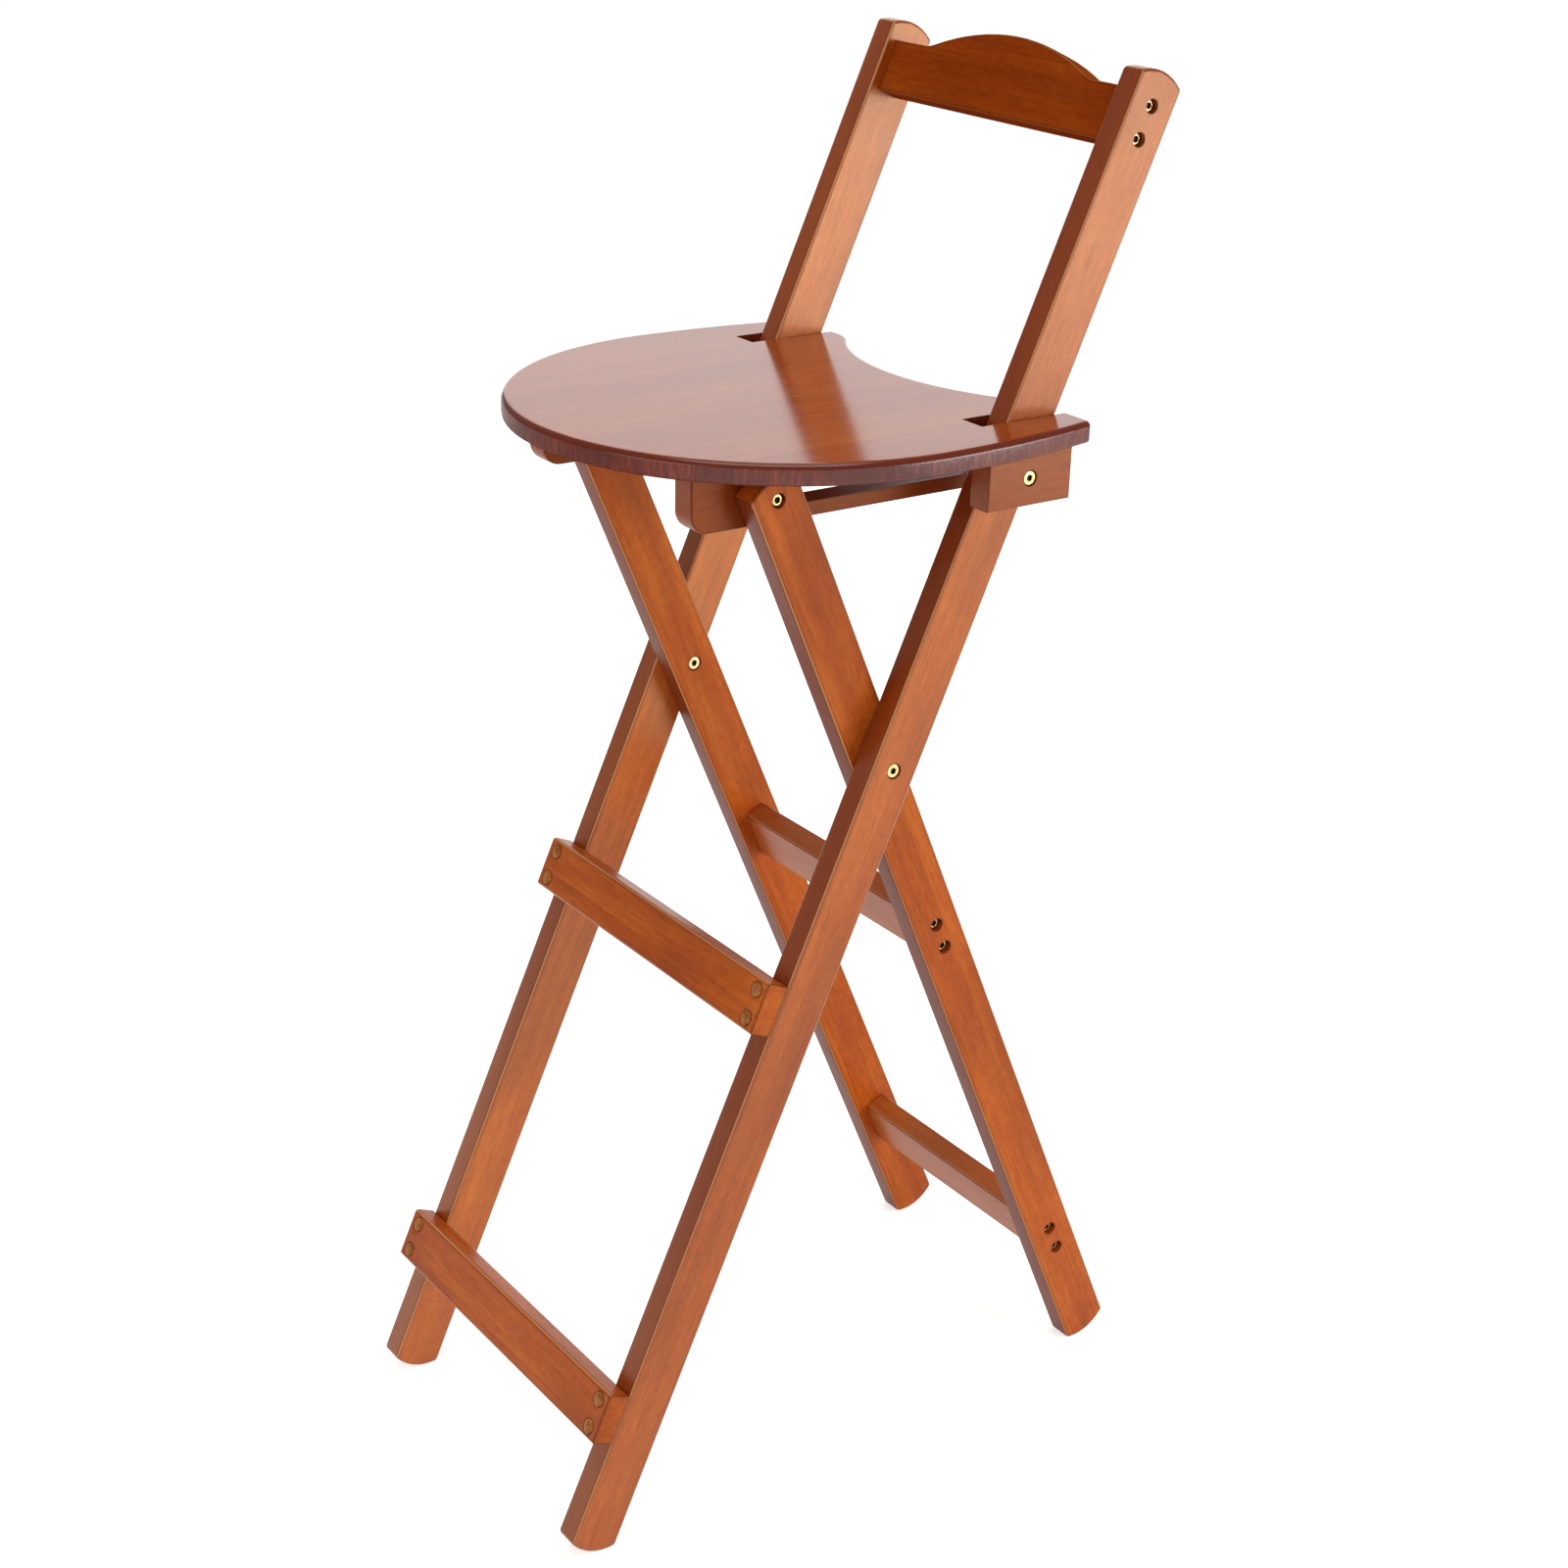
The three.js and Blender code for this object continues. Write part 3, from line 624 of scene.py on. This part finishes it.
def tip_rings(kind):
    """Rings from the middle of the tip to the neck: a bore with bevelled edges, or a plain end."""
    tip = -kind.length
    if kind.bore is None:
        bevel = 0.5
        return [circle(kind.neck * 0.02, tip), circle(kind.neck - bevel, tip), circle(kind.neck, tip + 0.6)]
    bevel = 0.25
    bottom = tip + kind.bore_depth
    return [circle(kind.bore * 0.02, bottom), circle(kind.bore, bottom), circle(kind.bore, tip + 0.3),
            circle(kind.bore + bevel, tip), circle(kind.neck - bevel, tip), circle(kind.neck, tip + bevel)]


def head_rings(kind):
    """Rings from the neck round the head to the bottom of its hexagon socket; the head's face is at zero."""
    under = -kind.head_height
    bevel = 0.2
    rings = [circle(kind.neck, under), circle(kind.head - bevel, under), circle(kind.head, under + bevel)]
    for a in evenly(0, math.pi / 2, 4):
        radius = kind.head - HEAD_ROUNDING + HEAD_ROUNDING * math.cos(a)
        rings.append(circle(radius, -HEAD_ROUNDING + HEAD_ROUNDING * math.sin(a)))
    rings += [hexagon(SOCKET_MOUTH, 0), hexagon(SOCKET_FLATS, -0.22), hexagon(SOCKET_FLATS, -SOCKET_DEPTH)]
    rings += [circle(1.1, -SOCKET_DEPTH - 0.12), circle(CLOSED, -SOCKET_DEPTH - 0.5)]
    return rings


def mark_recess(mesh, first):
    """Marks the points from the given one on as lying in a socket, where shade is painted into the colour.
    """
    layer = mesh.attributes.new("socket_shade", "FLOAT", "POINT")
    for i in range(first, len(mesh.vertices)):
        layer.data[i].value = 1.0


def fastener_mesh(name, kind):
    """A headed fastener along +Z, its head's face at zero."""
    rings = tip_rings(kind) + head_rings(kind)
    mesh = rings_to_mesh(name, in_metres(rings))
    mark_recess(mesh, (len(rings) - SOCKET_RINGS) * RING_POINTS)
    return mesh


def place_on_x(mesh, face_x, centre, sign, outward):
    """Turns +Z to the outward or inward X and puts the head's face at face_x."""
    way = sign * outward
    mesh.transform(Matrix(((0, 0, way), (1, 0, 0), (0, way, 0))).to_4x4())
    mesh.transform(Matrix.Translation((sign * face_x * MM, centre.y, centre.z)))


def fasteners():
    stile_outer = 138.0
    stile_inner = 119.5
    leg_outer = 118.3
    leg_inner = 99.8
    block_outer = 157.7
    jobs = [("cross_bolt", BOLT, stile_outer, 1, "stile_frame"),
            ("seat_bolt", BOLT, block_outer, 1, "stile_frame"),
            ("cross_nut", NUT, leg_inner, -1, "stile_frame"),
            ("seat_nut", NUT, stile_inner, -1, "stile_frame"),
            ("dowel_screw", DOWEL_SCREW, leg_outer, 1, "leg_frame")]
    jobs += [(f"stretcher_screw_{i}", RAIL_SCREW, leg_outer, 1, "leg_frame") for i in range(1, 5)]
    jobs += [(f"crest_screw_{i}", RAIL_SCREW, stile_outer, 1, "stile_frame") for i in range(1, 3)]
    for side, sign in SIDES:
        for name, kind, surface, outward, body in jobs:
            node = f"{name}_{side}"
            mesh = fastener_mesh(node + "_mesh", kind)
            place_on_x(mesh, surface - kind.sunk * outward, centre_of(node), sign, outward)
            add_piece(node + "_fine", mesh, metal, body, "pale_brass", node)


fasteners()


# Plugs over the footrests' screws
PLUG_RADIUS = 5.0
PLUG_HALF = 2.45
PLUG_RISE = 1.1


def plug_material():
    net = Net("plug_wood")
    where = net.node("ShaderNodeTexCoord").outputs["Object"]
    turned = net.mapping(where, rotation=TO_STILE)
    flecks = net.noise(turned, 1300, 3.0, 0.6)
    cloud = net.noise(turned, 240)
    colour = net.ramp(cloud, (0.3, srgb(136, 74, 22)), (0.5, srgb(162, 92, 32)), (0.7, srgb(188, 116, 50)))
    colour = net.mix(net.span(flecks, 0.45, 0.7, 0.0, 0.4), colour, srgb(96, 50, 18))
    shader = net.principled(colour, net.plus(net.times(flecks, 0.15), 0.32), {
        "Specular IOR Level": 0.35, "Specular Tint": VARNISH_TINT})
    net.link(net.bump(flecks, strength=0.3, distance=0.0001), shader.inputs["Normal"])
    return net.finish(shader.outputs[0])


def plug_rings():
    """A short cylinder around zero with a low dome on its front end."""
    dome_radius = (PLUG_RADIUS ** 2 + PLUG_RISE ** 2) / (PLUG_RISE * 2)
    dome_centre = PLUG_HALF + PLUG_RISE - dome_radius
    swing = math.asin(PLUG_RADIUS / dome_radius)
    rings = [circle(CLOSED, -PLUG_HALF), circle(PLUG_RADIUS, -PLUG_HALF)]
    for a in evenly(swing, 0, 8):
        radius = max(CLOSED, dome_radius * math.sin(a))
        rings.append(circle(radius, dome_centre + dome_radius * math.cos(a)))
    return rings


def plugs():
    material = plug_material()
    turn = Matrix((Vector((1, 0, 0)), STILE_UP, STILE_FRONT)).transposed().to_4x4()
    for level in LEVELS:
        for row in ("top", "bottom"):
            for side, _ in SIDES:
                node = f"plug_{level}_{row}_{side}"
                mesh = rings_to_mesh(node + "_mesh", in_metres(plug_rings()))
                mesh.transform(Matrix.Translation(centre_of(node)) @ turn)
                add_piece(node + "_fine", mesh, material, "stile_frame", "plug_wood", node)


plugs()


# Seat board, in millimetres from the seat pivots, with y toward the front
SEAT_REAR = -45.2


def arc(cx, cy, radius, start, end, steps):
    return [(cx + radius * math.cos(a), cy + radius * math.sin(a)) for a in evenly(start, end, steps)]


def curve(start, corner, end, steps):
    """A parabola from start to end whose ends run toward the corner between them."""
    points = []
    for t in evenly(0, 1, steps):
        a, b, c = (1 - t) ** 2, 2 * t * (1 - t), t * t
        points.append(tuple(a * start[i] + b * corner[i] + c * end[i] for i in (0, 1)))
    return points


def rear_hollow():
    """Left half of the concave rear edge, eased into the straight rear."""
    depth = 36.0
    radius = 166.0
    ease = 7.0
    centre_y = SEAT_REAR + depth - radius
    half_width = math.sqrt(radius ** 2 - (radius - depth) ** 2)
    start = half_width - ease
    swing = math.acos(start / radius)
    meet = (start, centre_y + math.sin(swing) * radius)
    points = arc(0, centre_y, radius, math.pi / 2, swing, 26)
    return points + curve(meet, (half_width, SEAT_REAR), (half_width + ease, SEAT_REAR), 10)[1:]


def left_side():
    """Rear corner, gently bowed side and the quarter ellipse of the front."""
    half_width = 178.0
    widest = 82.0
    front_reach = 188.5
    draw_in = 15.2
    corner = 6.0
    run = widest - SEAT_REAR
    radius = (run ** 2 + draw_in ** 2) / (draw_in * 2)
    centre_x = half_width - radius
    swing = math.asin((run - corner) / (radius - corner))
    corner_x = centre_x + math.cos(swing) * (radius - corner)
    points = arc(corner_x, SEAT_REAR + corner, corner, -math.pi / 2, -swing, 12)
    points += arc(centre_x, widest, radius, -swing, 0, 24)[1:]
    for a in evenly(0, math.pi / 2, 64)[1:]:
        points.append((half_width * math.cos(a), widest + front_reach * math.sin(a)))
    return points


def seat_outline():
    """The whole edge without its notches."""
    left = rear_hollow() + left_side()
    return left + [(-x, y) for x, y in reversed(left[1:-1])]


def drawn_in(points, amount):
    """The same outline moved inward along its normals."""
    out = []
    count = len(points)
    for i, (x, y) in enumerate(points):
        (ax, ay), (bx, by) = points[i - 1], points[(i + 1) % count]
        tx, ty = bx - ax, by - ay
        length = math.hypot(tx, ty)
        out.append((x - ty / length * amount, y + tx / length * amount))
    return out


def seat_profile():
    """Inset and height from the underside over the planed lower edge and the rounded upper edge."""
    low = SEAT_TOP - SEAT_THICKNESS
    arris = 4.0
    planed = 2.2
    flat_inset = arris + 2.0
    start = math.acos((arris - planed) / arris)
    lower = evenly(start, math.pi / 2, 5)
    upper = evenly(0, math.pi / 2, 8)
    profile = [(flat_inset, low)]
    profile += [(arris - arris * math.sin(a), low - planed + arris - arris * math.cos(a)) for a in lower]
    profile += [(arris - arris * math.cos(a), SEAT_TOP - arris + arris * math.sin(a)) for a in upper]
    profile.append((flat_inset, SEAT_TOP))
    return profile


def notch_points():
    """Outline of a notch on the left side, with a rounded mouth."""
    inner = 118.3
    outer = 139.2
    front = 27.0
    mouth = 4.5
    corner = 0.6
    points = arc(inner - mouth, SEAT_REAR + mouth, mouth, -math.pi / 2, 0, 8)
    points += arc(inner + corner, front - corner, corner, math.pi, math.pi / 2, 4)
    points += arc(outer - corner, front - corner, corner, math.pi / 2, 0, 4)
    points += arc(outer + mouth, SEAT_REAR + mouth, mouth, math.pi, math.pi * 1.5, 8)
    return points + [(outer + mouth, SEAT_REAR - mouth), (inner - mouth, SEAT_REAR - mouth)]


def in_frame(points, height, sign=1):
    return [(x * sign * MM, (SEAT_PIVOT_Y - y) * MM, height * MM) for x, y in points]


def helper_object(name, rings):
    piece = bpy.data.objects.new(name, rings_to_mesh(name, rings))
    bpy.context.scene.collection.objects.link(piece)
    return piece


def seat_board():
    """The board with its two notches cut; the helper objects are removed again."""
    outline = seat_outline()
    rings = [in_frame(drawn_in(outline, inset), height) for inset, height in seat_profile()]
    blank = helper_object("blank", rings)
    below, above = SEAT_TOP - 20, SEAT_TOP + 7
    tools = []
    for _, sign in SIDES:
        tools.append(helper_object("tool", [in_frame(notch_points(), z, sign) for z in (below, above)]))
    for tool in tools:
        saw = blank.modifiers.new("saw", "BOOLEAN")
        saw.operation = "DIFFERENCE"
        saw.solver = "EXACT"
        saw.object = tool
    bpy.context.view_layer.update()
    made = bpy.data.meshes.new_from_object(blank.evaluated_get(bpy.context.evaluated_depsgraph_get()))
    made.name = "seat_board_mesh"
    made.materials.clear()
    for piece in (blank, *tools):
        mesh = piece.data
        bpy.data.objects.remove(piece)
        bpy.data.meshes.remove(mesh)
    return made


add_piece("seat_board_fine", seat_board(), seat_wood, "seat", "seat_wood", "seat_board")


# Floor
FLOOR_PALE = (0.80, 0.80, 0.80, 1)
FLOOR_GLOW = 0.60
FLOOR_REACH = 26.0
WHITE = (1, 1, 1, 1)


def floor_material():
    """Pale floor that looks white to the camera and in reflections, and keeps the shadow."""
    net = Net("floor")
    path = net.node("ShaderNodeLightPath")
    diffuse = net.node("ShaderNodeBsdfDiffuse")
    diffuse.inputs["Color"].default_value = FLOOR_PALE
    glow = net.node("ShaderNodeEmission")
    glow.inputs["Color"].default_value = WHITE
    seen = net.math("MAXIMUM", path.outputs["Is Camera Ray"], path.outputs["Is Glossy Ray"])
    net.link(net.times(seen, FLOOR_GLOW), glow.inputs["Strength"])
    both = net.node("ShaderNodeAddShader")
    net.link(diffuse.outputs[0], both.inputs[0])
    net.link(glow.outputs[0], both.inputs[1])
    return net.finish(both.outputs[0])


def lay_floor():
    corners = [(x * FLOOR_REACH, y * FLOOR_REACH, 0) for x, y in ((-1, -1), (1, -1), (1, 1), (-1, 1))]
    mesh = bpy.data.meshes.new("floor_mesh")
    mesh.from_pydata(corners, [], [(0, 1, 2, 3)])
    mesh.materials.append(floor_material())
    piece = bpy.data.objects.new("floor", mesh)
    bpy.context.scene.collection.objects.link(piece)


lay_floor()


# Lamps and surroundings
def lamp(name, place, target, size, power):
    data = bpy.data.lights.new(name, "AREA")
    data.shape = "RECTANGLE"
    data.size, data.size_y = size
    data.energy = power
    piece = bpy.data.objects.new(name, data)
    bpy.context.scene.collection.objects.link(piece)
    piece.location = place
    piece.visible_camera = False
    piece.rotation_euler = (Vector(target) - Vector(place)).to_track_quat("-Z", "Y").to_euler()


lamp("key", place=(1.75, 1.3, 0.78), target=(0, 0.1, 0.8), size=(1.4, 1.08), power=21.5)
lamp("back", place=(-2.15, 1.5, 1.25), target=(0, 0, 0.75), size=(2.2, 2.1), power=15)
lamp("fill", place=(0.4, -2.7, 1.3), target=(0, 0, 0.45), size=(2.0, 1.6), power=18)
lamp("overhead", place=(0.3, -0.2, 3.0), target=(0, 0, 0.5), size=(1.8, 1.8), power=20)


def choose(tree, switch, otherwise, chosen):
    """One level, or another where the switch is on."""
    made = tree.nodes.new("ShaderNodeMapRange")
    tree.links.new(switch, made.inputs["Value"])
    for socket, value in (("To Min", otherwise), ("To Max", chosen)):
        if isinstance(value, bpy.types.NodeSocket):
            tree.links.new(value, made.inputs[socket])
        else:
            made.inputs[socket].default_value = value
    return made.outputs[0]


def surroundings():
    """White to the camera, a soft plain light on the object, and dimmer in reflections."""
    world = bpy.data.worlds.new("world")
    world.use_nodes = True
    bpy.context.scene.world = world
    tree = world.node_tree
    tree.nodes.clear()
    path = tree.nodes.new("ShaderNodeLightPath")
    background = tree.nodes.new("ShaderNodeBackground")
    background.inputs["Color"].default_value = WHITE
    light = choose(tree, path.outputs["Is Glossy Ray"], 0.50, 0.25)
    level = choose(tree, path.outputs["Is Camera Ray"], light, 1.0)
    tree.links.new(level, background.inputs["Strength"])
    output = tree.nodes.new("ShaderNodeOutputWorld")
    tree.links.new(background.outputs[0], output.inputs["Surface"])


surroundings()
bpy.context.scene.view_settings.view_transform = "Standard"

bpy.context.view_layer.update()
